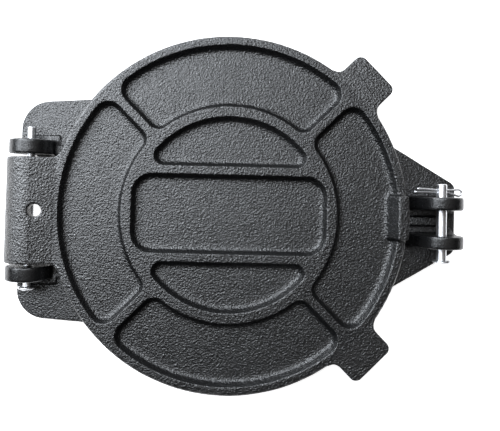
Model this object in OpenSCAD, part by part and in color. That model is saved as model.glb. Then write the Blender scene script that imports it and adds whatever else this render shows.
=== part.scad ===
// Hinged hand press with two round cast plates. All sizes are in millimetres.
// Frame: +Z up from the table, +X towards the lever lugs, hinge pin along Y.

/* [Plates] */
// radius of the round lower plate
plate_r = 101.6; // [96:0.2:106]
// distance that the upper plate's rim stands out past the lower plate's
rim_out = 0.7; // [0:0.1:1]
// thickness of the upper plate at its rim
upper_t = 9; // [8:0.1:10]
// thickness of the lower plate's disc
lower_t = 5.5; // [4.5:0.1:6.5]
// height of the lower plate's pressing face above the table
press_z = 13; // [12.4:0.1:13.4]
// gap that is left between the closed plates
closed_gap = 0.05; // [0.02:0.01:0.3]
// radius of the rounded plate rims
rim_round = 1.6; // [0.8:0.1:2.2]

/* [Pockets in the upper plate] */
// depth of the pockets
pocket_d = 4.8; // [3:0.1:5.5]
// width of the rim outside the ring of pockets
rim_w = 4.6; // [3.6:0.1:7]
// inner radius of the ring of pockets
ring_ri = 61.8; // [59:0.1:63]
// radius of the inner group of pockets
core_r = 55.8; // [54:0.1:57]
// width of the ribs between pockets
rib_w = 5; // [4:0.1:7]
// half the height of the middle pocket
middle_hy = 22.4; // [18:0.1:25]
// half the length of the middle pocket
middle_hx = 55.6; // [50:0.1:56]
// corner radius of the middle pocket
middle_cr = 11.5; // [8:0.5:13]
// corner radius at the outer end of the ring pockets
corner_ro = 8.6; // [6:0.1:9.5]
// corner radius at the inner end of the ring pockets
corner_ri = 7.2; // [5:0.1:8]
// corner radius of the two pockets beside the middle one
corner_rd = 5.6; // [4:0.1:6.5]
// sideways lean of the pocket walls from top to floor
wall_lean = 1.8; // [1:0.1:2.6]

/* [Lifting ears and pressure lip] */
// half the width of each lifting ear
ear_hw = 14.5; // [11:0.1:17]
// distance that the ears stand out from the rim
ear_reach = 17; // [11:0.1:22]
// corner radius of the ears
ear_cr = 4.2; // [2:0.1:5]
// radius of the fillets where ears and hinge tab meet the rim
root_r = 5.2; // [2:0.1:6]
// angle of the ears from the lever side
ear_angle = 45; // [40:1:50]
// height of the lip that the lever presses on
lip_h = 5; // [4:0.1:8]
// half the length of the lip along the rim
lip_hw = 12.6; // [10:0.1:15]
// sideways offset of the lip
lip_dy = 0.5; // [-2:0.1:2]
// width of the lip's top
lip_top_w = 5.6; // [4:0.1:7]

/* [Rear hinge] */
// distance of the hinge axis from the rim
hinge_reach = 13.8; // [13.7:0.1:15.4]
// height of the hinge axis above the table
hinge_z = 13.6; // [13.5:0.1:14]
// radius of the tab's barrel
barrel_r = 13.2; // [12.6:0.1:13.3]
// radius of the hinge lugs
hinge_lug_r = 12.4; // [11:0.1:12.8]
// half the width of the plate's hinge tab
tab_hw = 30.3; // [28:0.1:30.8]
// inner face of each hinge lug from the middle
hinge_in = 31.9; // [31.8:0.1:34]
// thickness of each hinge lug
hinge_t = 8.7; // [7:0.1:9.5]
// thickness of the tab's cheeks
cheek_t = 6; // [5:0.1:8]
// thickness of the tab's rear wall
tab_wall = 4.5; // [3.5:0.1:5.5]
// radius of the hanging hole in the tab
hang_r = 3.4; // [3:0.1:4.2]
// distance of the hanging hole in front of the hinge axis
hang_dx = 6.2; // [5.8:0.1:7]
// thickness of the tab's roof above the hinge axis and the hollow
roof_up = 5.8; // [5:0.1:6.4]

/* [Pins] */
// radius of the hinge pin
hinge_pin_r = 2.3; // [2.1:0.05:2.5]
// radius of the lever pin
lever_pin_r = 2.75; // [2.5:0.05:2.9]
// radial clearance of the pins in their holes
pin_clear = 0.08; // [0.03:0.01:0.1]
// diameter of the hinge pin's head
hinge_head_d = 10.4; // [9:0.1:10.6]
// diameter of the lever pin's head
lever_head_d = 10; // [8.6:0.1:10.6]
// thickness of the hinge pin's domed head
hinge_head_t = 2.4; // [1.8:0.1:3]
// thickness of the lever pin's domed head
lever_head_t = 1.6; // [1.4:0.1:2.2]
// radius of one leg of the split pin
leg_r = 0.6; // [0.5:0.05:0.6]
// reach of the split pin's longer leg from the lever pin's axis
leg_long = 16; // [13:0.1:17]
// reach of the split pin's shorter leg from the lever pin's axis
leg_short = 14.4; // [12:0.1:16]
// angle that the shorter leg is spread by
leg_spread = 3.5; // [0:0.5:12]
// middle radius of the split pin's eye
eye_r = 1.8; // [1.6:0.05:1.9]
// distance of the split pin's eye from the lever pin's axis
eye_dx = 9.6; // [8.6:0.1:10.2]
// angle that the split pin's eye is bent aside by
eye_tilt = 6.5; // [0:0.5:6.5]

/* [Base casting] */
// height of the rear foot and nose above the table
step_z = 7.5; // [7:0.1:7.6]
// thickness of the rear foot and nose
step_t = 5; // [4:0.1:5.5]
// half the width of the rear foot
foot_hy = 64.5; // [61:0.1:67]
// corner radius of the rear foot
foot_cr = 17.4; // [13:0.1:18.5]
// distance that the rear foot stands out from the rim
foot_reach = 22.3; // [20:0.1:25]
// angle that each side of the rear foot flares by towards the plate
foot_flare = 4; // [0:0.5:5]
// radius of the round pads under the base
pad_r = 8; // [6:0.5:9]
// width of the ribs under the base
under_w = 5; // [4:0.5:7]
// outer radius of the ring rib under the base
under_ring_r = 45; // [38:1:60]
// distance that the nose stands out from the rim
nose_reach = 34.2; // [33.4:0.2:36.4]
// half the width of the nose's blunt end
nose_hw = 20.2; // [18:0.1:22]
// half angle of the nose's taper
nose_angle = 30.5; // [28:0.5:33]
// corner radius of the nose's blunt end
nose_cr = 5; // [3:0.5:7]
// width of the raised strip on the foot beside each hinge lug
strip_w = 3; // [2:0.1:3.4]
// height of the raised strip beside each hinge lug
strip_h = 1.2; // [0.6:0.1:1.6]

/* [Lever lugs] */
// sideways offset of the lever lugs and their pin
lever_dy = -2; // [-3:0.1:3]
// distance of the lever axis from the rim
lever_reach = 20.9; // [20.4:0.1:22.4]
// height of the lever axis above the table
lever_z = 19; // [18.6:0.1:20]
// radius of the lever lugs
lever_r = 11.6; // [10.4:0.1:11.8]
// inner face of each lever lug from the middle
lever_in = 7.1; // [6.8:0.1:8]
// thickness of each lever lug
lever_t = 7.7; // [6:0.1:8.4]
// width of the web on the floor between the lever lugs
web_w = 5.4; // [4.6:0.1:6.6]
// depth of the two slots beside the web
slot_d = 3.8; // [2:0.1:4]
// width of the gussets at the root of the lever lugs
gusset_w = 2.6; // [1.5:0.1:3.2]
// height of the gussets at the root of the lever lugs
gusset_h = 8; // [3:0.5:10]

/* [Hidden] */
$fn = 96;
eps = 0.01;
hinge_x = plate_r + hinge_reach;
lever_x = plate_r + lever_reach;
foot_x = plate_r + foot_reach;
nose_x = plate_r + nose_reach;
ear_end = plate_r + ear_reach;
ring_ro = plate_r - rim_w;
upper_r = plate_r + rim_out;
shift_x = (hinge_x + barrel_r - nose_x) / 2;
upper_z = press_z + closed_gap;
top_z = upper_z + upper_t;
floor_z = top_z - pocket_d;
roof_z = hinge_z + roof_up;
chord_y = middle_hy + rib_w;
base_under = step_z - step_t;
hinge_out = hinge_in + hinge_t;
lever_out = lever_in + lever_t;
lug_foot_x = plate_r + 4.4;
lug_foot_z = step_z + 1.4;
hinge_foot_x = -plate_r - 1.6;
hinge_foot_z = step_z + 0.6;
hinge_head_y = -hinge_out - 3.8;
hinge_end_y = hinge_out + 7.2;
lever_head_y = -lever_out - 7;
lever_end_y = lever_out + 7.4;
split_y = lever_out + 3.3;
slot_end = nose_x - 7;
notch_x = hinge_x - 0.8;
notch_gap = 0.7;
leg_gap = 0.04;
leg_lap = 0.3;
leg_y = leg_r + leg_gap / 2;
neck_r = leg_r - 0.08;
spread_r = leg_r - 0.03;
cotter_r = 2 * leg_r + leg_gap + 0.06;
overlap = 1.2;
dip = 0.06;
over = 1;
slope = wall_lean / pocket_d;
castcolor = [0.16, 0.16, 0.17];
pincolor = [0.82, 0.83, 0.85];

// Ring-shaped solid with a polygon section given as [radius, height] pairs
module turned(section) { rotate_extrude($fn = 180) polygon(section); }

// Round disc with rounded top and bottom rims
module rimmed_disc(r, z, t, rr) {
  translate([0, 0, z])
    rotate_extrude($fn = 180)
      union() {
        square([r - rr, t]);
        translate([0, rr]) square([r, t - 2 * rr]);
        translate([r - rr, rr]) circle(r = rr, $fn = 32);
        translate([r - rr, t - rr]) circle(r = rr, $fn = 32);
      }
}

// Flat bar along +X from the middle, with rounded far corners
module rounded_bar(x_end, hw, cr) {
  translate([0, -hw]) square([x_end - cr, 2 * hw]);
  translate([0, -hw + cr]) square([x_end, 2 * (hw - cr)]);
  for (s = [-1, 1]) translate([x_end - cr, s * (hw - cr)]) circle(r = cr, $fn = 48);
}

// Fillets on both sides of a bar where it leaves a round disc
module bar_roots(r, hw, rf) {
  cy = hw + rf;
  cx = sqrt((r + rf) * (r + rf) - cy * cy);
  tx = cx * r / (r + rf);
  ty = cy * r / (r + rf);
  for (s = [0, 1])
    mirror([0, s])
      difference() {
        polygon([[cx, hw - 1], [cx, cy], [tx, ty], [tx - 3, ty - 3], [tx - 3, hw - 1]]);
        translate([cx, cy]) circle(r = rf, $fn = 64);
      }
}

// Point where a line from p touches a circle about c, on the chosen side
function tangent(p, c, r, side) =
  let (v = c - p, d = norm(v), a = atan2(v[1], v[0]) + side * asin(r / d), len = sqrt(d * d - r * r))
  [p[0] + len * cos(a), p[1] + len * sin(a)];

// Side shape stood upright in the XZ plane and spread along Y from y0 to y1
module upright(y0, y1) {
  translate([0, y1, 0]) rotate([90, 0, 0]) linear_extrude(height = y1 - y0) children();
}

// Straight rod along Y
module rod_y(r, y0, y1, x, z) {
  translate([x, y0, z]) rotate([-90, 0, 0]) cylinder(r = r, h = y1 - y0, $fn = 64);
}

// Block that fills a pocket corner outside its rounding, reaching that far into the walls
module corner_block(cx, cy, r, a1, a2, reach) {
  nudge = 0.06;
  sink = 0.6;
  tall = sink + pocket_d + 2 * over;
  dx = nudge * (cos(a1) + cos(a2));
  dy = nudge * (sin(a1) + sin(a2));
  translate([cx + dx, cy + dy, floor_z - sink])
    difference() {
      linear_extrude(height = tall)
        polygon([
          [0, 0],
          [reach * cos(a1), reach * sin(a1)],
          [reach * (cos(a1) + cos(a2)), reach * (sin(a1) + sin(a2))],
          [reach * cos(a2), reach * sin(a2)]
        ]);
      translate([0, 0, -sink])
        cylinder(
          r1 = r - wall_lean - 2 * sink * slope,
          r2 = r + 3 * over * slope,
          h = tall + sink + over,
          $fn = 64
        );
    }
}

// Space of the ring of pockets, before its ribs are put back
module ring_space() {
  turned([
    [ring_ri + wall_lean, floor_z],
    [ring_ro - wall_lean, floor_z],
    [ring_ro + over * slope, top_z + over],
    [ring_ri - over * slope, top_z + over]
  ]);
}

// Leaning rib along +X from the ring's inner to its outer wall
module ring_rib() {
  low = rib_w / 2 + wall_lean + over * slope;
  high = rib_w / 2 - 2 * over * slope;
  rotate([90, 0, 90])
    translate([0, 0, ring_ri - 4])
      linear_extrude(height = ring_ro - ring_ri + 6)
        polygon([
          [-low, floor_z - over],
          [low, floor_z - over],
          [high, top_z + 2 * over],
          [-high, top_z + 2 * over]
        ]);
}

// Rounded corners beside one rib of the ring
module ring_corners() {
  for (s = [0, 1])
    mirror([0, s, 0]) {
      yo = rib_w / 2 + corner_ro;
      xo = sqrt((ring_ro - corner_ro) * (ring_ro - corner_ro) - yo * yo);
      corner_block(xo, yo, corner_ro, atan2(yo, xo), -90, corner_ro + 2.2);
      yi = rib_w / 2 + corner_ri;
      xi = sqrt((ring_ri + corner_ri) * (ring_ri + corner_ri) - yi * yi);
      corner_block(xi, yi, corner_ri, 180 + atan2(yi, xi), -90, corner_ri + 2.2);
    }
}

// Pocket with one straight and one round side, on the +Y side
module round_pocket() {
  difference() {
    turned([
      [0, floor_z],
      [core_r - wall_lean, floor_z],
      [core_r + over * slope, top_z + over],
      [0, top_z + over]
    ]);
    rotate([90, 0, 90])
      translate([0, 0, -plate_r])
        linear_extrude(height = 2 * plate_r)
          polygon([
            [-plate_r, floor_z - over],
            [chord_y + wall_lean + over * slope, floor_z - over],
            [chord_y - 2 * over * slope, top_z + 2 * over],
            [-plate_r, top_z + 2 * over]
          ]);
    for (s = [0, 1])
      mirror([s, 0, 0]) {
        yc = chord_y + corner_rd;
        xc = sqrt((core_r - corner_rd) * (core_r - corner_rd) - yc * yc);
        corner_block(xc, yc, corner_rd, atan2(yc, xc), -90, 3 * corner_rd);
      }
  }
}

// Middle pocket with leaning walls and round corners
module middle_pocket() {
  px = middle_hx - middle_cr;
  py = middle_hy - middle_cr;
  r1 = middle_cr - wall_lean;
  r2 = middle_cr + over * slope;
  translate([0, 0, floor_z])
    hull()
      for (sx = [-1, 1])
        for (sy = [-1, 1])
          translate([sx * px, sy * py, 0]) cylinder(r1 = r1, r2 = r2, h = pocket_d + over, $fn = 32);
}

// Side shape of the tab's barrel with its slope down to the plate
module tab_side() {
  slope_end = rim_w - 1.4 - plate_r;
  t = tangent([slope_end, top_z], [-hinge_x, hinge_z], barrel_r - dip, -1);
  translate([-hinge_x, hinge_z]) circle(r = barrel_r, $fn = 96);
  polygon([
    [slope_end + 0.8, upper_z],
    [slope_end + 0.8, top_z],
    [slope_end, top_z],
    t,
    [-hinge_x, hinge_z],
    [-hinge_x, upper_z]
  ]);
}

// Hollow below the tab's roof between its cheeks, open below and low at the rear
module tab_hollow() {
  hy = tab_hw - cheek_t;
  below = 10;
  notch_z = hinge_z - 5;
  intersection() {
    rod_y(barrel_r - tab_wall, -hy, hy, -hinge_x, hinge_z);
    translate([-hinge_x - barrel_r, -hy, -below]) cube([2 * barrel_r, 2 * hy, roof_z + below]);
  }
  translate([-hinge_x, -hy, -below])
    cube([hinge_reach - 0.8, 2 * hy, roof_z + below]);
  translate([-hinge_x - barrel_r - 1, -hy, -below])
    cube([barrel_r + 1 + eps, 2 * hy, below + notch_z]);
}

// Lifting ears with their fillets, grown from the rounding of the rim
module lifting_ears() {
  for (a = [-ear_angle, ear_angle])
    rotate([0, 0, a])
      translate([0, 0, upper_z])
        linear_extrude(height = upper_t)
          difference() {
            union() {
              rounded_bar(ear_end, ear_hw, ear_cr);
              bar_roots(upper_r, ear_hw, root_r);
            }
            circle(r = upper_r - rim_round + 0.3, $fn = 180);
          }
}

// Upper plate: pocketed disc, hinge tab, lifting ears and pressure lip
module upper_plate() {
  color(castcolor)
    translate([shift_x, 0, 0])
      difference() {
        union() {
          difference() {
            rimmed_disc(upper_r, upper_z, upper_t, rim_round);
            plate_pockets();
          }
          lifting_ears();
          pressure_lip();
          upright(-tab_hw, tab_hw) tab_side();
          mirror([1, 0, 0])
            translate([0, 0, upper_z])
              linear_extrude(height = upper_t) bar_roots(upper_r, tab_hw, root_r);
        }
        tab_hollow();
        rod_y(hinge_pin_r + pin_clear, -tab_hw - 1, tab_hw + 1, -hinge_x, hinge_z);
        translate([-hinge_x + hang_dx, 0, hinge_z])
          cylinder(r = hang_r, h = 2 * barrel_r, $fn = 64);
      }
}

// All pockets of the upper plate
module plate_pockets() {
  difference() {
    ring_space();
    for (a = [45:90:315])
      rotate([0, 0, a]) {
        ring_rib();
        ring_corners();
      }
  }
  round_pocket();
  mirror([0, 1, 0]) round_pocket();
  middle_pocket();
}

// Raised lip on the rim where the lever bears
module pressure_lip() {
  intersection() {
    upright(lip_dy - lip_hw, lip_dy + lip_hw)
      polygon([
        [plate_r - lip_top_w - 5, floor_z],
        [plate_r + 1, floor_z],
        [plate_r + 1, top_z + lip_h - 1],
        [plate_r - 1, top_z + lip_h],
        [plate_r - lip_top_w - 1, top_z + lip_h]
      ]);
    cylinder(r = plate_r, h = 60, $fn = 180);
  }
}

// Side shape of a hinge lug
module hinge_lug_side() {
  c = [-hinge_x, hinge_z];
  t = tangent([hinge_foot_x, hinge_foot_z], c, hinge_lug_r - dip, -1);
  translate(c) circle(r = hinge_lug_r, $fn = 96);
  polygon([
    [-hinge_x, base_under],
    [hinge_foot_x + 6, base_under],
    [hinge_foot_x + 6, step_z],
    [hinge_foot_x, hinge_foot_z],
    t,
    c
  ]);
}

// Side shape of the raised strip beside a hinge lug, bevelled at the rear
module strip_side() {
  front = overlap - plate_r;
  top = step_z + strip_h;
  polygon([
    [-foot_x + overlap, base_under + overlap],
    [front, base_under + overlap],
    [front, top],
    [strip_h - foot_x + overlap, top],
    [-foot_x + overlap, step_z - eps]
  ]);
}

// Side shape of a lever lug
module lever_lug_side() {
  c = [lever_x, lever_z];
  t = tangent([lug_foot_x, lug_foot_z], c, lever_r - dip, 1);
  translate(c) circle(r = lever_r, $fn = 96);
  polygon([
    c,
    t,
    [lug_foot_x, lug_foot_z],
    [lug_foot_x - 3, step_z],
    [lug_foot_x - 3, base_under],
    [lever_x + lever_r, base_under],
    [lever_x + lever_r, lever_z]
  ]);
}

// Gusset along the inner root of a lever lug, behind the slots
module lever_lug_gusset() {
  sink = 0.5;
  translate([slot_end - 1, lever_in + sink, step_z - sink])
    rotate([90, 0, 90])
      linear_extrude(height = lever_x + lever_r - slot_end + 0.4)
        polygon([[0, 0], [0, gusset_h + sink], [-gusset_w - sink, 0]]);
}

// Outline of the rear foot with its rounded corners and flaring sides
module foot_outline() {
  xc = foot_cr - foot_x;
  yc = foot_hy - foot_cr;
  tx = xc - foot_cr * sin(foot_flare);
  ty = yc + foot_cr * cos(foot_flare) - eps;
  run = -tx;
  rise = run * tan(foot_flare);
  for (s = [-1, 1]) translate([xc, s * yc]) circle(r = foot_cr, $fn = 96);
  polygon([
    [-foot_x, -yc],
    [xc, -yc],
    [tx, -ty],
    [tx + run, -ty - rise],
    [tx + run, ty + rise],
    [tx, ty],
    [xc, yc],
    [-foot_x, yc]
  ]);
}

// Outline of the nose with its tapering sides and rounded corners
module nose_outline() {
  run = nose_x / 2;
  rise = run * tan(nose_angle);
  xc = nose_x - nose_cr;
  yc = nose_hw - nose_cr * tan(45 - nose_angle / 2);
  nx = nose_cr * sin(nose_angle);
  ny = nose_cr * cos(nose_angle);
  for (s = [-1, 1]) translate([xc, s * yc]) circle(r = nose_cr, $fn = 64);
  polygon([
    [xc, -yc],
    [xc + nx, -yc - ny],
    [xc + nx - run, -yc - ny - rise],
    [xc + nx - run, yc + ny + rise],
    [xc + nx, yc + ny],
    [xc, yc],
    [nose_x, yc],
    [nose_x, -yc]
  ]);
}

// Ribs, rim skirt and pads under the base
module base_underside() {
  disc_z = press_z - lower_t;
  skirt_h = disc_z - base_under + 0.4;
  translate([0, 0, base_under]) {
    difference() {
      cylinder(r = plate_r - overlap / 2, h = skirt_h, $fn = 180);
      translate([0, 0, -1]) cylinder(r = plate_r - under_w, h = skirt_h + 2, $fn = 180);
    }
    difference() {
      cylinder(r = under_ring_r, h = skirt_h, $fn = 120);
      translate([0, 0, -1]) cylinder(r = under_ring_r - under_w, h = skirt_h + 2, $fn = 120);
    }
    for (a = [45:90:315])
      rotate([0, 0, a])
        translate([under_ring_r - under_w / 2, -under_w / 2, 0])
          cube([plate_r - under_ring_r, under_w, skirt_h]);
  }
  for (s = [-1, 1]) {
    translate([-foot_x + foot_cr, s * (foot_hy - foot_cr), 0])
      cylinder(r1 = pad_r - 0.8, r2 = pad_r, h = base_under + 1, $fn = 64);
    rotate([0, 0, s * 45])
      translate([plate_r - pad_r - 3, 0, 0])
        cylinder(r1 = pad_r - 0.8, r2 = pad_r, h = disc_z + 0.4, $fn = 64);
  }
}

// Base: lower plate, rear foot with hinge lugs, nose with lever lugs
module base() {
  color(castcolor)
    translate([shift_x, 0, 0])
      difference() {
        union() {
          rimmed_disc(plate_r, press_z - lower_t, lower_t, rim_round);
          base_underside();
          difference() {
            translate([0, 0, base_under]) linear_extrude(height = step_t) foot_outline();
            translate([-foot_x - 1, -hinge_in, 0])
              cube([foot_x + 1 - notch_x, 2 * hinge_in, step_z + 1]);
            translate([-notch_x - 1, -tab_hw - notch_gap, 0])
              cube([notch_x + 1 - plate_r, 2 * (tab_hw + notch_gap), step_z + 1]);
            translate([0, 0, -1]) cylinder(r = plate_r - overlap, h = step_z + 2, $fn = 180);
          }
          difference() {
            translate([0, 0, base_under]) linear_extrude(height = step_t) nose_outline();
            translate([0, 0, -1]) cylinder(r = plate_r - overlap, h = step_z + 2, $fn = 180);
            for (s = [0, 1])
              translate([lug_foot_x + 1, lever_dy, step_z - slot_d])
                mirror([0, s, 0])
                  translate([0, web_w / 2, 0])
                    cube([slot_end - lug_foot_x - 1, lever_in - web_w / 2, step_z]);
          }
          for (s = [0, 1]) {
            mirror([0, s, 0]) {
              upright(hinge_in, hinge_out) hinge_lug_side();
              upright(hinge_out - overlap, hinge_out + strip_w) strip_side();
            }
            translate([0, lever_dy, 0])
              mirror([0, s, 0])
                union() {
                  upright(lever_in, lever_out) lever_lug_side();
                  lever_lug_gusset();
                }
          }
        }
        rod_y(hinge_pin_r + pin_clear, -hinge_out - 1, hinge_out + 1, -hinge_x, hinge_z);
        translate([0, lever_dy, 0])
          rod_y(lever_pin_r + pin_clear, -lever_out - 1, lever_out + 1, lever_x, lever_z);
      }
}

// Hinge pin with a domed head and a spread far end
module hinge_pin() {
  flare_h = 1.2;
  color(pincolor)
    translate([shift_x, 0, 0]) {
      rod_y(hinge_pin_r, hinge_head_y - eps, hinge_end_y - flare_h, -hinge_x, hinge_z);
      translate([-hinge_x, hinge_end_y - flare_h, hinge_z])
        rotate([-90, 0, 0])
          cylinder(r1 = hinge_pin_r, r2 = hinge_pin_r + 0.2, h = flare_h, $fn = 64);
      translate([-hinge_x, hinge_head_y, hinge_z]) pin_head(hinge_head_d / 2, hinge_head_t);
    }
}

// Domed head pointing along -Y, with a short straight edge and a small flat in the middle
module pin_head(r, t) {
  edge = 0.8;
  flat_cut = 0.05;
  dome_h = t + flat_cut - edge;
  dome_r = (r * r + dome_h * dome_h) / (2 * dome_h);
  rotate([90, 0, 0])
    rotate_extrude($fn = 96)
      intersection() {
        translate([0, edge + dome_h - dome_r]) circle(r = dome_r, $fn = 180);
        square([r, t]);
      }
}

// Lever pin with a domed head, a bevelled end and a cross hole
module lever_pin() {
  bevel = 0.6;
  color(pincolor)
    translate([shift_x, lever_dy, 0])
      difference() {
        union() {
          rod_y(lever_pin_r, lever_head_y - eps, lever_end_y - bevel, lever_x, lever_z);
          translate([lever_x, lever_end_y - bevel, lever_z])
            rotate([-90, 0, 0])
              cylinder(r1 = lever_pin_r, r2 = lever_pin_r - bevel, h = bevel, $fn = 64);
          translate([lever_x, lever_head_y, lever_z]) pin_head(lever_head_d / 2, lever_head_t);
        }
        translate([lever_x - 2 * lever_pin_r, split_y, lever_z])
          rotate([0, 90, 0])
            cylinder(r = cotter_r, h = 4 * lever_pin_r, $fn = 48);
      }
}

// One straight length of the split pin's wire, from a point along an angle
module wire(at, angle, len, r) {
  translate([at[0], at[1], 0])
    rotate([0, 90, angle])
      cylinder(r = r, h = len, $fn = 32);
}

// Eye of the split pin with its two neck wires, about the point where the neck starts
module split_pin_eye(len) {
  far = 2 * eye_r + 2;
  turn = 90 + asin((eye_r - leg_y) / len);
  join = [len + eye_r * cos(turn), eye_r * sin(turn)];
  run = norm([join[0], join[1] - leg_y]);
  translate([len, 0, 0])
    difference() {
      rotate_extrude($fn = 64) translate([eye_r, 0]) circle(r = leg_r, $fn = 32);
      translate([0, 0, -2 * leg_r])
        linear_extrude(height = 4 * leg_r)
          polygon([
            [0, 0],
            [far * cos(turn), far * sin(turn)],
            [-far, far * sin(turn)],
            [-far, -far * sin(turn)],
            [far * cos(turn), -far * sin(turn)]
          ]);
    }
  for (s = [0, 1])
    mirror([0, s, 0])
      wire([-leg_lap * sin(turn), leg_y + leg_lap * cos(turn)], turn - 90, run + 2 * leg_lap, neck_r);
}

// Split pin through the lever pin's cross hole
module lever_split_pin() {
  neck_x = lever_pin_r + 0.6;
  color(pincolor)
    translate([shift_x + lever_x, lever_dy + split_y, lever_z]) {
      translate([neck_x, 0, 0]) rotate([0, 0, -eye_tilt]) split_pin_eye(eye_dx - neck_x);
      wire([neck_x, -leg_y], 180, neck_x + leg_long, leg_r);
      wire([neck_x, leg_y], 180, 2 * neck_x, leg_r);
      wire([leg_lap - neck_x, leg_y], 180 - leg_spread, leg_short - neck_x + leg_lap, spread_r);
    }
}

base();
upper_plate();
hinge_pin();
lever_pin();
lever_split_pin();
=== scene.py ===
"""Hinged cast-iron hand press, dressed for a studio view. Metres, +Z up, +X towards the lever lugs."""
import bpy
import bmesh
import math
import numpy as np
from collections import namedtuple
from mathutils import Matrix, Vector


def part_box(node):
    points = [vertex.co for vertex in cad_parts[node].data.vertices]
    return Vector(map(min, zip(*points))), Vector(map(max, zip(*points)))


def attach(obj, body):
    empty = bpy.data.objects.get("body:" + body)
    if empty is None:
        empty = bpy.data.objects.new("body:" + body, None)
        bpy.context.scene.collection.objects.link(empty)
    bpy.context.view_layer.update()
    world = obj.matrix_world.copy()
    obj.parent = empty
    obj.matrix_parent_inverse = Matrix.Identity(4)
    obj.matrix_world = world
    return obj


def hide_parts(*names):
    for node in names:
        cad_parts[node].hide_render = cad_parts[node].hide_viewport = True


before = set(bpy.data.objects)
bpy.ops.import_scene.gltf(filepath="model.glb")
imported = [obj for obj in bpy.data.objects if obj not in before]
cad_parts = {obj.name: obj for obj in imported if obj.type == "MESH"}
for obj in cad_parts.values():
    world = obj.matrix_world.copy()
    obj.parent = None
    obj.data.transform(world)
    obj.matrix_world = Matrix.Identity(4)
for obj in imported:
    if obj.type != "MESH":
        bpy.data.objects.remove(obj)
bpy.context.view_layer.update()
scene = bpy.context.scene

MM = 0.001

# Camera: its image, lens, place and turn in degrees, fitted to corners of the castings in the photograph
IMAGE_W, IMAGE_H = 500, 431
FOCAL_PX = 506.7
CENTRE_U, CENTRE_V = 216.6, 176.7
CAMERA_AT = (-15.8 * MM, 13.9 * MM, 309.2 * MM)
CAMERA_TURN = (1.46, -0.94, 1.36)
SENSOR_MM = 36.0
NEAREST, FARTHEST = 0.01, 20.0

# Castings: the even grid that they are softened on, the strength and passes of softening, and the unevenness
VOXEL = 0.55 * MM
SOFTENING = 0.5
EDGE_STEPS = 5
LUG_STEPS = 16
HOLLOW_STEPS = 40
SWELL_SIZE, SWELL_DEPTH = 14 * MM, 0.22 * MM
SAND_SIZE, SAND_DEPTH = 1.05 * MM, 0.07 * MM

# Castings: round surfaces about the two pins, given as radius, middle along Y and half width
PIN_CLEAR = 0.08 * MM
BARREL_R, BARREL_HW = 13.2 * MM, 30.4 * MM
HINGE_LUG_R, HINGE_LUG_Y, HINGE_LUG_HW = 12.4 * MM, 36.25 * MM, 4.4 * MM
LEVER_LUG_R, LEVER_LUG_Y, LEVER_LUG_HW = 11.6 * MM, 10.95 * MM, 3.9 * MM
HINGE_BORE_HW, LEVER_BORE_HW = 60 * MM, 20 * MM
LEVER_DY = -2 * MM

# Castings: how far the grid's facets lie off a true round, how far round a lug its softening reaches,
# and how far outside a bore its wall is drawn back to it
FACET_SAG = 0.16 * MM
LUG_RIM = 3 * MM
BORE_REACH = 0.25 * MM

# Castings: pocket floors, pressure lip, and how far out hands reach on the upper plate
PLATE_X = -3.6 * MM
POCKET_FLOOR_Z = 17.25 * MM
HOLLOW_R, HOLLOW_BELOW, HOLLOW_ABOVE = 97.5 * MM, 1 * MM, 2.8 * MM
LIP_X, LIP_HW, LIP_Z = 88 * MM, 15.5 * MM, 20.5 * MM
HANDLED_R = 100.5 * MM

# The stretch of a noise in which most of its values lie, as the ends of a colour change
NOISE_MIDDLE = (0.3, 0.7)

# Seasoned iron: colours, noises with their scales per metre, depths of its bump, roughness and gloss
IRON_DARK, IRON_LIGHT = (0.003, 0.0031, 0.0034), (0.006, 0.0061, 0.0065)
IRON_IOR = 1.8
GRAIN_SCALE, PIT_SCALE, CLOUD_SCALE = 1100.0, 900.0, 38.0
GRAIN_DETAIL, CLOUD_DETAIL, NOISE_ROUGH = 2.0, 4.0, 0.6
PIT_SHARE = 0.6
GRAIN_LO, GRAIN_HI = 0.35, 0.65
AS_CAST_BUMP, GROUND_BUMP = 0.52 * MM, 0.1 * MM
DULL_ROUGH, BRIGHT_ROUGH = 0.36, 0.27
HANDLED_GLOSS, GROUND_GLOSS = 0.75, 0.38

# Zinc plate: colours, roughness and draw marks
ZINC_DARK, ZINC_LIGHT = (0.88, 0.89, 0.91), (0.94, 0.95, 0.97)
ZINC_ROUGH = 0.36
MARK_SCALE, MARK_DETAIL = 900.0, 2.0
MARK_DEPTH, MARK_STRENGTH = 0.05 * MM, 0.12

# Pins: sides and arc steps of a turned piece, shafts, domed heads and ends
TURN_SIDES = 72
FILLET_STEPS, END_STEPS = 4, 6
HINGE_PIN_R, LEVER_PIN_R = 2.3 * MM, 2.75 * MM
HINGE_HEAD_T, LEVER_HEAD_T = 2.4 * MM, 1.6 * MM
HEAD_EDGE = 0.8 * MM
HEAD_BEVEL = 0.15 * MM
DOME_STEPS, DOME_INSET, DOME_DROP = 10, 0.12 * MM, 0.14 * MM
NECK_FILLET = 0.4 * MM
UPSET_L, UPSET = 1.2 * MM, 0.15 * MM
UPSET_ROUND, UPSET_DISH = 0.3 * MM, 0.1 * MM
LEVER_END_ROUND = 0.7 * MM

# Split pin: its place along the lever pin, its wire, its legs and eye in the plane of the legs, with angles
# in degrees, the points of its path, and the hole that it is pushed through
SPLIT_Y = LEVER_DY + 18.1 * MM
WIRE_R, WIRE_SIDES = 0.6 * MM, 16
WIRE_FLAT, WIRE_TIP = 0.82, 0.9
LEG_Y = 0.62 * MM
LEG_LONG, LEG_SHORT = 16 * MM, 14.4 * MM
LEG_SPREAD = 3.5
NECK_X = 3.35 * MM
EYE_R, EYE_DX, EYE_TILT = 1.8 * MM, 9.6 * MM, 6.5
EYE_POINTS, LEG_POINTS, PATH_PASSES = 33, 12, 3
DRILL_R, DRILL_HL, DRILL_SIDES = 2 * WIRE_R + 0.09 * MM, 8 * MM, 64

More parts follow.
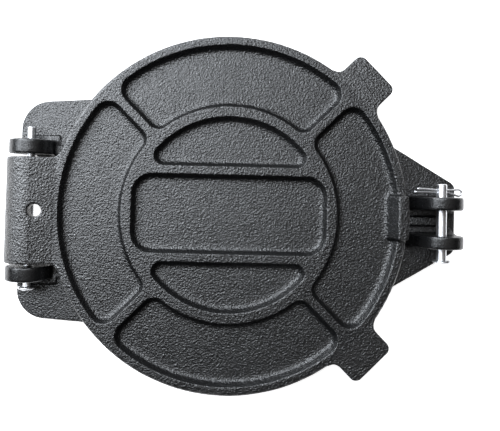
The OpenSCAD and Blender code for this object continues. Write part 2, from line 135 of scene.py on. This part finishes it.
# White paper floor, with a glow that only the camera and reflections see
FLOOR_HALF = 3.0
PAPER_DARK, PAPER_LIGHT = (0.90, 0.885, 0.88), (0.92, 0.905, 0.90)
PAPER_SCALE = 4.0
PAPER_GLOW = 0.88

# Softboxes up to the left and behind: place, power in watts
SOFTBOXES = (
    ((-0.2, 0.18, 0.66), 1.3),
    ((-0.36, 0.32, 0.6), 1.7),
    ((-0.55, 0.5, 0.42), 4.4),
    ((-0.55, 0.1, 0.45), 1.9),
    ((0.0, 0.4, 0.55), 1.5),
)
SOFTBOX_SIZE = 0.3
SOFTBOX_COLOUR = (0.89, 0.94, 1.0)

# World: glows from above and from the right, as azimuth and elevation in degrees, and level
GLOWS = ((0, 90, 0.26), (40, 50, 0.24))
GLOW_FOCUS = 8
GLOW_COLOUR = (1.0, 0.94, 0.9)

Round = namedtuple("Round", "axis r y0 y1")


def link(obj):
    """Puts an object into the scene."""
    scene.collection.objects.link(obj)
    return obj


def mesh_object(name, bm):
    """Turns a finished bmesh into an object of the scene."""
    me = bpy.data.meshes.new(name)
    bm.to_mesh(me)
    bm.free()
    return link(bpy.data.objects.new(name, me))


def apply_modifiers(obj):
    """Bakes the object's modifiers into its mesh."""
    dg = bpy.context.evaluated_depsgraph_get()
    me = bpy.data.meshes.new_from_object(obj.evaluated_get(dg))
    old = obj.data
    obj.modifiers.clear()
    obj.data = me
    bpy.data.meshes.remove(old)
    return obj


def smooth_shade(obj):
    """Shades the whole object smoothly."""
    obj.data.polygons.foreach_set("use_smooth", [True] * len(obj.data.polygons))
    return obj


def points(obj):
    """The object's vertices as an array with one row each."""
    co = np.empty(3 * len(obj.data.vertices), dtype=np.float32)
    obj.data.vertices.foreach_get("co", co)
    return co.reshape(-1, 3)


def put_points(obj, co):
    """Moves the object's vertices to the rows of the array."""
    obj.data.vertices.foreach_set("co", co.ravel())


def unit(degrees):
    """The unit vector of the XY plane at an angle from X."""
    a = math.radians(degrees)
    return Vector((math.cos(a), math.sin(a)))


def pin_axis(node):
    """The middle of a pin's box, which lies on its axis."""
    lo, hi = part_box(node)
    return (lo + hi) / 2


def pin_reach(node):
    """The pin's two ends along Y, and the radius of its head."""
    lo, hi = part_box(node)
    return lo[1], hi[1], (hi[0] - lo[0]) / 2


def round_about(axis, r, middle, half):
    """A round surface about Y, by the middle and half of its width."""
    return Round(axis, r, middle - half, middle + half)


HINGE_AT = pin_axis("hinge_pin")
LEVER_AT = pin_axis("lever_pin")
HINGE_BORE = round_about(HINGE_AT, HINGE_PIN_R + PIN_CLEAR, 0, HINGE_BORE_HW)
LEVER_BORE = round_about(LEVER_AT, LEVER_PIN_R + PIN_CLEAR, 0, LEVER_BORE_HW)
HINGE_LUGS = [round_about(HINGE_AT, HINGE_LUG_R, s * HINGE_LUG_Y, HINGE_LUG_HW) for s in (-1, 1)]
LEVER_LUGS = [round_about(LEVER_AT, LEVER_LUG_R, LEVER_DY + s * LEVER_LUG_Y, LEVER_LUG_HW) for s in (-1, 1)]
BARREL = round_about(HINGE_AT, BARREL_R, 0, BARREL_HW)


def true_round(co, surface, below, above):
    """Moves points that lie near a round surface onto it."""
    dx = co[:, 0] - surface.axis[0]
    dz = co[:, 2] - surface.axis[2]
    d = np.hypot(dx, dz)
    near = (d > surface.r - below) & (d < surface.r + above)
    near &= (co[:, 1] > surface.y0) & (co[:, 1] < surface.y1)
    f = surface.r / d[near]
    co[near, 0] = surface.axis[0] + dx[near] * f
    co[near, 2] = surface.axis[2] + dz[near] * f


def inside(co, surface, rim):
    """Tells which points lie within a round surface, or up to a rim's width outside it."""
    d = np.hypot(co[:, 0] - surface.axis[0], co[:, 2] - surface.axis[2])
    return (d < surface.r + rim) & (co[:, 1] > surface.y0) & (co[:, 1] < surface.y1)


def on_grid(node):
    """A copy of the node's shape on an even grid of small faces."""
    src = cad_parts[node]
    me = src.data.copy()
    me.transform(src.matrix_world)
    me.materials.clear()
    obj = link(bpy.data.objects.new(node + "_casting", me))
    grid = obj.modifiers.new("grid", "REMESH")
    grid.mode = "VOXEL"
    grid.voxel_size = VOXEL
    return apply_modifiers(obj)


def add_group(obj, name, chosen):
    """Gathers the chosen vertices in a vertex group."""
    group = obj.vertex_groups.new(name=name)
    group.add([int(i) for i in np.nonzero(chosen)[0]], 1.0, "REPLACE")


def soften(obj, label, steps, group=""):
    """Rounds edges and fillets, over the whole object or over one vertex group."""
    m = obj.modifiers.new(label, "SMOOTH")
    m.factor = SOFTENING
    m.iterations = steps
    m.vertex_group = group


def roughen(obj, label, size, depth):
    """Sinks the surface here and there, by a noise of the given size."""
    noise = bpy.data.textures.new(obj.name + "_" + label, "CLOUDS")
    noise.noise_scale = size
    m = obj.modifiers.new(label, "DISPLACE")
    m.texture = noise
    m.texture_coords = "LOCAL"
    m.mid_level = 0.0
    m.strength = -depth


def set_finish(obj, finish):
    """Stores the finish of the surface: -1 burnished by hands, 0 as cast, 1 ground smooth."""
    layer = obj.data.attributes.new("finish", "FLOAT", "POINT")
    layer.data.foreach_set("value", finish.astype(np.float32))


def casting(node, bores, rounds):
    """The node's shape with the soft edges and slight unevenness of a sand casting."""
    obj = on_grid(node)
    co = points(obj)
    is_top = node == "upper_plate"
    at_round = np.zeros(len(co), dtype=bool)
    for surface in rounds:
        true_round(co, surface, FACET_SAG, FACET_SAG / 2)
        at_round |= inside(co, surface, LUG_RIM)
    put_points(obj, co)
    from_middle = np.hypot(co[:, 0] - PLATE_X, co[:, 1])
    at_lip = (co[:, 0] > LIP_X) & (np.abs(co[:, 1]) < LIP_HW) & (co[:, 2] > LIP_Z) & is_top
    at_floor = (co[:, 2] > POCKET_FLOOR_Z - HOLLOW_BELOW) & (co[:, 2] < POCKET_FLOOR_Z + HOLLOW_ABOVE)
    add_group(obj, "soft", at_round | at_lip)
    add_group(obj, "hollow", at_floor & (from_middle < HOLLOW_R))
    handled = is_top & (from_middle > HANDLED_R)
    ground = at_round & (not is_top)
    set_finish(obj, 1.0 * ground - handled)
    soften(obj, "fillet", HOLLOW_STEPS, "hollow")
    soften(obj, "edges", EDGE_STEPS)
    soften(obj, "lugs", LUG_STEPS, "soft")
    roughen(obj, "swell", SWELL_SIZE, SWELL_DEPTH)
    roughen(obj, "sand", SAND_SIZE, SAND_DEPTH)
    apply_modifiers(obj)
    co = points(obj)
    for bore in bores:
        true_round(co, bore, bore.r, BORE_REACH)
    put_points(obj, co)
    return smooth_shade(obj)


class Nodes:
    """Short way to build the node tree of a material or a world."""

    def __init__(self, owner):
        """Starts the owner's tree afresh."""
        owner.use_nodes = True
        self.tree = owner.node_tree
        self.tree.nodes.clear()

    def add(self, kind, props=None, **inputs):
        """Adds a node; an underscore in an input's name stands for a space."""
        n = self.tree.nodes.new(kind)
        for k, v in (props or {}).items():
            setattr(n, k, v)
        for k, v in inputs.items():
            self.set(n, k.replace("_", " "), v)
        return n

    def set(self, n, key, v):
        """Links or sets an input, by its name or its number."""
        if isinstance(v, bpy.types.NodeSocket):
            self.tree.links.new(v, n.inputs[key])
        else:
            n.inputs[key].default_value = v

    def fill(self, kind, props, *values):
        """Adds a node with its first inputs set in order, and gives its first output."""
        n = self.add(kind, props)
        for i, v in enumerate(values):
            self.set(n, i, v)
        return n.outputs[0]

    def math(self, op, *values):
        """Works out one operation on the values."""
        return self.fill("ShaderNodeMath", {"operation": op}, *values)

    def map(self, value, lo, hi, to_lo, to_hi):
        """Carries a value from one range over to another, and holds it at the ends."""
        return self.fill("ShaderNodeMapRange", None, value, lo, hi, to_lo, to_hi)

    def noise(self, co, scale, **inputs):
        """A noise between 0 and 1."""
        return self.add("ShaderNodeTexNoise", Vector=co, Scale=scale, **inputs).outputs["Fac"]

    def tint(self, noise, dark, light):
        """Goes from a dark to a light colour over the middle of a noise."""
        n = self.add("ShaderNodeValToRGB", Fac=noise)
        for stop, position, colour in zip(n.color_ramp.elements, NOISE_MIDDLE, (dark, light)):
            stop.position = position
            stop.color = (*colour, 1.0)
        return n.outputs["Color"]


def cast_iron():
    """Black seasoned iron with a sand-cast grain."""
    mat = bpy.data.materials.new("seasoned_iron")
    n = Nodes(mat)
    co = n.add("ShaderNodeTexCoord").outputs["Object"]
    grain = n.noise(co, GRAIN_SCALE, Detail=GRAIN_DETAIL, Roughness=NOISE_ROUGH)
    clouds = n.noise(co, CLOUD_SCALE, Detail=CLOUD_DETAIL, Roughness=NOISE_ROUGH)
    pits = n.add("ShaderNodeTexVoronoi", {"feature": "SMOOTH_F1"}, Vector=co, Scale=PIT_SCALE)
    finish = n.add("ShaderNodeAttribute", {"attribute_name": "finish"}).outputs["Fac"]
    bump = n.add(
        "ShaderNodeBump",
        Strength=1.0,
        Distance=n.map(finish, 0.0, 1.0, AS_CAST_BUMP, GROUND_BUMP),
        Height=n.math("MULTIPLY_ADD", pits.outputs["Distance"], PIT_SHARE, grain),
    )
    b = n.add(
        "ShaderNodeBsdfPrincipled",
        Base_Color=n.tint(clouds, IRON_DARK, IRON_LIGHT),
        Roughness=n.map(grain, GRAIN_LO, GRAIN_HI, DULL_ROUGH, BRIGHT_ROUGH),
        IOR=IRON_IOR,
        Specular_IOR_Level=n.map(finish, -1.0, 1.0, HANDLED_GLOSS, GROUND_GLOSS),
        Normal=bump.outputs["Normal"],
    )
    n.add("ShaderNodeOutputMaterial", Surface=b.outputs["BSDF"])
    return mat


def zinc():
    """Bright zinc plate with fine draw marks."""
    mat = bpy.data.materials.new("bright_zinc")
    n = Nodes(mat)
    co = n.add("ShaderNodeTexCoord").outputs["Object"]
    marks = n.noise(co, MARK_SCALE, Detail=MARK_DETAIL)
    bump = n.add("ShaderNodeBump", Strength=MARK_STRENGTH, Distance=MARK_DEPTH, Height=marks)
    b = n.add(
        "ShaderNodeBsdfPrincipled",
        Base_Color=n.tint(marks, ZINC_DARK, ZINC_LIGHT),
        Metallic=1.0,
        Roughness=ZINC_ROUGH,
        Normal=bump.outputs["Normal"],
    )
    n.add("ShaderNodeOutputMaterial", Surface=b.outputs["BSDF"])
    return mat


def white_paper():
    """Pale paper that looks white to the camera and in reflections, and still takes a shadow."""
    mat = bpy.data.materials.new("white_paper")
    n = Nodes(mat)
    co = n.add("ShaderNodeTexCoord").outputs["Object"]
    fibre = n.noise(co, PAPER_SCALE)
    paper = n.add("ShaderNodeBsdfDiffuse", Color=n.tint(fibre, PAPER_DARK, PAPER_LIGHT))
    rays = n.add("ShaderNodeLightPath").outputs
    seen = n.math("MAXIMUM", rays["Is Camera Ray"], rays["Is Glossy Ray"])
    seen = n.math("MAXIMUM", seen, rays["Is Transmission Ray"])
    glow = n.add("ShaderNodeEmission", Strength=n.math("MULTIPLY", seen, PAPER_GLOW))
    both = n.fill("ShaderNodeAddShader", None, paper.outputs[0], glow.outputs[0])
    n.add("ShaderNodeOutputMaterial", Surface=both)
    return mat


def lathe(name, profile, at):
    """A solid of revolution about a line along Y, from (y, radius) pairs that start and end on the line."""
    turns = [2 * math.pi * k / TURN_SIDES for k in range(TURN_SIDES)]
    bm = bmesh.new()
    rings = []
    for y, r in profile:
        spokes = turns if r > 0 else turns[:1]
        rings.append([bm.verts.new((at[0] + r * math.cos(a), y, at[2] + r * math.sin(a))) for a in spokes])
    for lo, hi in zip(rings, rings[1:]):
        for k in range(TURN_SIDES):
            j = (k + 1) % TURN_SIDES
            if len(lo) == 1:
                bm.faces.new((lo[0], hi[k], hi[j]))
            elif len(hi) == 1:
                bm.faces.new((lo[k], hi[0], lo[j]))
            else:
                bm.faces.new((lo[k], hi[k], hi[j], lo[j]))
    bmesh.ops.recalc_face_normals(bm, faces=bm.faces)
    return mesh_object(name, bm)


def arc(y, r, bend, a0, a1, steps):
    """Points of a profile on a circle about (y, r), from angle a0 to a1 in degrees."""
    middle = Vector((y, r))
    return [tuple(middle + bend * unit(a0 + (a1 - a0) * k / steps)) for k in range(steps + 1)]


def domed_head(y, t, head_r, shaft_r):
    """Profile of a domed head, from its outer middle to the shaft below it."""
    rise = t - HEAD_EDGE
    dome_r = (head_r * head_r + rise * rise) / (2 * rise)
    rs = [head_r * k / DOME_STEPS for k in range(DOME_STEPS)] + [head_r - DOME_INSET]
    dome = [(y + dome_r - math.sqrt(dome_r * dome_r - r * r), r) for r in rs]
    rim = [(y + rise + DOME_DROP, head_r), (y + t - HEAD_BEVEL, head_r), (y + t, head_r - HEAD_BEVEL)]
    return dome + rim + arc(y + t + NECK_FILLET, shaft_r + NECK_FILLET, NECK_FILLET, 180, 270, FILLET_STEPS)


def hinge_rivet():
    """The hinge pin: a domed head, and an end that is upset a little so that it stays in."""
    y0, y1, head_r = pin_reach("hinge_pin")
    profile = domed_head(y0, HINGE_HEAD_T, head_r, HINGE_PIN_R) + [(y1 - UPSET_L, HINGE_PIN_R)]
    profile += arc(y1 - UPSET_ROUND, HINGE_PIN_R + UPSET - UPSET_ROUND, UPSET_ROUND, 90, 0, FILLET_STEPS)
    return lathe("hinge_rivet", profile + [(y1 - UPSET_DISH, 0)], HINGE_AT)


def cross_drill(obj, at):
    """Drills a hole along X through the object."""
    bm = bmesh.new()
    bmesh.ops.create_cone(
        bm, cap_ends=True, segments=DRILL_SIDES, radius1=DRILL_R, radius2=DRILL_R, depth=2 * DRILL_HL
    )
    drill = mesh_object("cross_hole", bm)
    along_x = Matrix.Rotation(math.pi / 2, 4, "Z") @ Matrix.Rotation(math.pi / 2, 4, "X")
    drill.data.transform(Matrix.Translation(at) @ along_x)
    m = obj.modifiers.new("cross_hole", "BOOLEAN")
    m.operation = "DIFFERENCE"
    m.solver = "MANIFOLD"
    m.object = drill
    apply_modifiers(obj)
    bpy.data.objects.remove(drill)
    return obj


def clevis_pin():
    """The lever pin: a domed head, a round end, and the split pin's cross hole."""
    y0, y1, head_r = pin_reach("lever_pin")
    profile = domed_head(y0, LEVER_HEAD_T, head_r, LEVER_PIN_R)
    profile += arc(y1 - LEVER_END_ROUND, LEVER_PIN_R - LEVER_END_ROUND, LEVER_END_ROUND, 90, 0, END_STEPS)
    pin = lathe("clevis_pin", profile + [(y1, 0)], LEVER_AT)
    return cross_drill(pin, (LEVER_AT[0], SPLIT_Y, LEVER_AT[2]))


def tilted(p):
    """A point of the split pin's eye or neck, tilted about the neck."""
    neck = Vector((NECK_X, 0))
    return neck + Matrix.Rotation(math.radians(-EYE_TILT), 2) @ (p - neck)


def straights(stops):
    """Points along straight lines from stop to stop, without the last stop."""
    return [a.lerp(b, k / LEG_POINTS) for a, b in zip(stops, stops[1:]) for k in range(LEG_POINTS)]


def split_pin_path():
    """Middle line of the folded wire, from the long leg's tip round the eye to the short leg's tip."""
    turn = 90 + math.degrees(math.asin((EYE_R - LEG_Y) / (EYE_DX - NECK_X)))
    eye = Vector((EYE_DX, 0))
    ring = [tilted(eye + EYE_R * unit(a)) for a in np.linspace(-turn, turn, EYE_POINTS)]
    bend = Vector((-NECK_X, LEG_Y))
    tip = bend + (LEG_SHORT - NECK_X) * unit(180 - LEG_SPREAD)
    down = [Vector((-LEG_LONG, -LEG_Y)), Vector((0, -LEG_Y)), tilted(Vector((NECK_X, -LEG_Y))), ring[0]]
    back = [ring[-1], tilted(Vector((NECK_X, LEG_Y))), Vector((0, LEG_Y)), bend, tip]
    path = straights(down) + ring[:-1] + straights(back) + [tip]
    for _ in range(PATH_PASSES):
        inner = [(a + 2 * b + c) / 4 for a, b, c in zip(path, path[1:], path[2:])]
        path = path[:1] + inner + path[-1:]
    return path


def split_pin():
    """Round wire, flattened on the side where its legs lie against each other, swept along the path."""
    path = split_pin_path()
    last = len(path) - 1
    turns = [2 * math.pi * k / WIRE_SIDES for k in range(WIRE_SIDES)]
    bm = bmesh.new()
    rings = []
    for i, p in enumerate(path):
        d = (path[min(i + 1, last)] - path[max(i - 1, 0)]).normalized()
        side = Vector((-d[1], d[0]))
        r = WIRE_R * (WIRE_TIP if i in (0, last) else 1)
        ring = []
        for a in turns:
            q = p + side * min(math.cos(a), WIRE_FLAT) * r
            ring.append(bm.verts.new((LEVER_AT[0] + q[0], SPLIT_Y + q[1], LEVER_AT[2] + math.sin(a) * r)))
        rings.append(ring)
    for lo, hi in zip(rings, rings[1:]):
        for k in range(WIRE_SIDES):
            j = (k + 1) % WIRE_SIDES
            bm.faces.new((lo[k], lo[j], hi[j], hi[k]))
    bm.faces.new(rings[0][::-1])
    bm.faces.new(rings[-1])
    bmesh.ops.recalc_face_normals(bm, faces=bm.faces)
    return mesh_object("split_pin", bm)


def dress(obj, node, material, body=None):
    """Puts a piece in its node's place, with its material and body, and hides the node's plain shape."""
    obj.data.materials.clear()
    obj.data.materials.append(material)
    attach(obj, body or node)
    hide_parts(node)


def lay_floor():
    """The paper that the press lies on."""
    bm = bmesh.new()
    for x, y in ((-1, -1), (1, -1), (1, 1), (-1, 1)):
        bm.verts.new((x * FLOOR_HALF, y * FLOOR_HALF, 0))
    bm.faces.new(bm.verts)
    floor = mesh_object("floor", bm)
    floor.data.materials.append(white_paper())


def hang_softbox(name, at, power):
    """A square softbox that points at the middle of the press."""
    data = bpy.data.lights.new(name, "AREA")
    data.shape = "RECTANGLE"
    data.size = SOFTBOX_SIZE
    data.size_y = SOFTBOX_SIZE
    data.energy = power
    data.color = SOFTBOX_COLOUR
    lamp = link(bpy.data.objects.new(name, data))
    lamp.location = at
    lamp.rotation_euler = (-Vector(at)).to_track_quat("-Z", "Y").to_euler()


def studio_world():
    """Two weak glows on a dark world, which the camera sees as white."""
    world = bpy.data.worlds.new("studio")
    scene.world = world
    n = Nodes(world)
    looking = n.add("ShaderNodeTexCoord").outputs["Generated"]
    level = 0.0
    for azimuth, elevation, power in GLOWS:
        flat = unit(azimuth) * math.cos(math.radians(elevation))
        glow_at = (flat[0], flat[1], math.sin(math.radians(elevation)))
        dot = n.add("ShaderNodeVectorMath", {"operation": "DOT_PRODUCT"})
        n.set(dot, 0, looking)
        n.set(dot, 1, glow_at)
        lobe = n.math("POWER", n.math("MAXIMUM", dot.outputs["Value"], 0.0), GLOW_FOCUS)
        level = n.math("ADD", n.math("MULTIPLY", lobe, power), level)
    glow = n.add("ShaderNodeBackground", Color=(*GLOW_COLOUR, 1.0), Strength=level)
    white = n.add("ShaderNodeBackground", Color=(1.0, 1.0, 1.0, 1.0))
    for_camera = n.add("ShaderNodeLightPath").outputs["Is Camera Ray"]
    pick = n.fill("ShaderNodeMixShader", None, for_camera, glow.outputs[0], white.outputs[0])
    n.add("ShaderNodeOutputWorld", Surface=pick)


def photo_camera():
    """The camera at the photograph's viewpoint, with the lens shifted as the photograph is cropped."""
    data = bpy.data.cameras.new("camera")
    data.sensor_fit = "HORIZONTAL"
    data.sensor_width = SENSOR_MM
    data.lens = FOCAL_PX / IMAGE_W * SENSOR_MM
    data.shift_x = (IMAGE_W / 2 - CENTRE_U) / IMAGE_W
    data.shift_y = (CENTRE_V - IMAGE_H / 2) / IMAGE_W
    data.clip_start = NEAREST
    data.clip_end = FARTHEST
    camera = link(bpy.data.objects.new("camera", data))
    camera.location = CAMERA_AT
    camera.rotation_euler = [math.radians(a) for a in CAMERA_TURN]
    scene.camera = camera


iron = cast_iron()
bright = zinc()
dress(casting("base", (HINGE_BORE, LEVER_BORE), HINGE_LUGS + LEVER_LUGS), "base", iron)
dress(casting("upper_plate", (HINGE_BORE,), (BARREL,)), "upper_plate", iron)
dress(smooth_shade(hinge_rivet()), "hinge_pin", bright)
dress(smooth_shade(clevis_pin()), "lever_pin", bright)
dress(smooth_shade(split_pin()), "lever_split_pin", bright, body="lever_pin")

lay_floor()
for k, (at, power) in enumerate(SOFTBOXES):
    hang_softbox("softbox_%d" % k, at, power)
studio_world()
photo_camera()
scene.view_settings.view_transform = "Standard"
